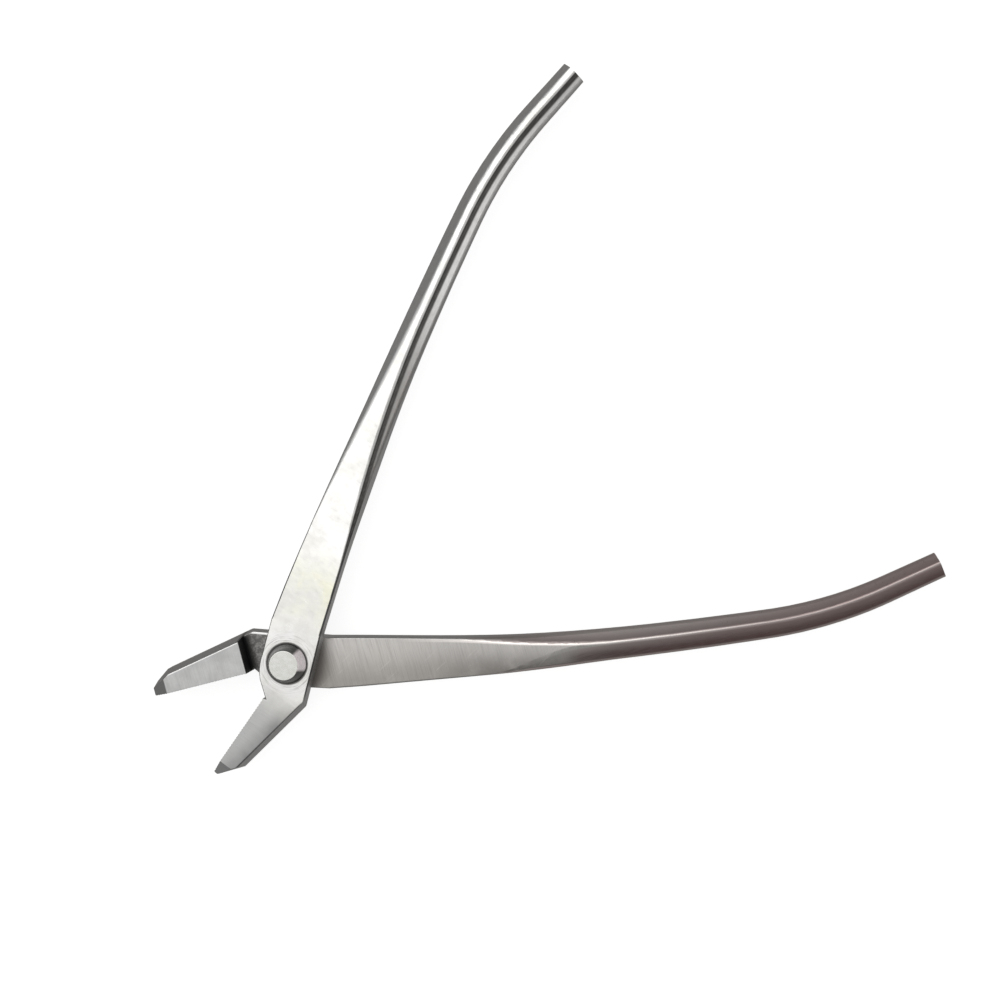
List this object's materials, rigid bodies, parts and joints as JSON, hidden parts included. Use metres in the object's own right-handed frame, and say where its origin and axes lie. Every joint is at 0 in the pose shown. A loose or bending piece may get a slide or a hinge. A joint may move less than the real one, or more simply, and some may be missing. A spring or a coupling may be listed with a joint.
{
  "type": "flat-jaw pliers",
  "caption": "Long-handled steel pliers with short serrated flat jaws and two lapped levers on one rivet, standing open.",
  "frame": {"origin": "on the pivot's axis, at the flat end of the rivet's tail", "axes": "+Z along the rivet towards its head; +X from the jaws towards the handles, with the tool lying flat"},
  "size_m": [0.1988, 0.1764, 0.0159],
  "materials": {
    "front_lever": "satin, with fine wear scratches",
    "rear_lever": "brushed across the lever",
    "pivot_rivet": "fine turned",
    "tail_washer": "plain rolled"
  },
  "bodies": {
    "rear_half": {"rear_lever": "rear_lever", "pivot_rivet": "pivot_rivet", "tail_washer": "tail_washer"},
    "front_half": {"front_lever": "front_lever"}
  },
  "joints": [
    {"name": "lap_pivot", "type": "hinge", "parent": "rear_half", "child": "front_half", "pos_m": [0, 0, 0.0069], "axis": [0, 0, 1], "range_deg": [-39.8, 52.5]}
  ]
}
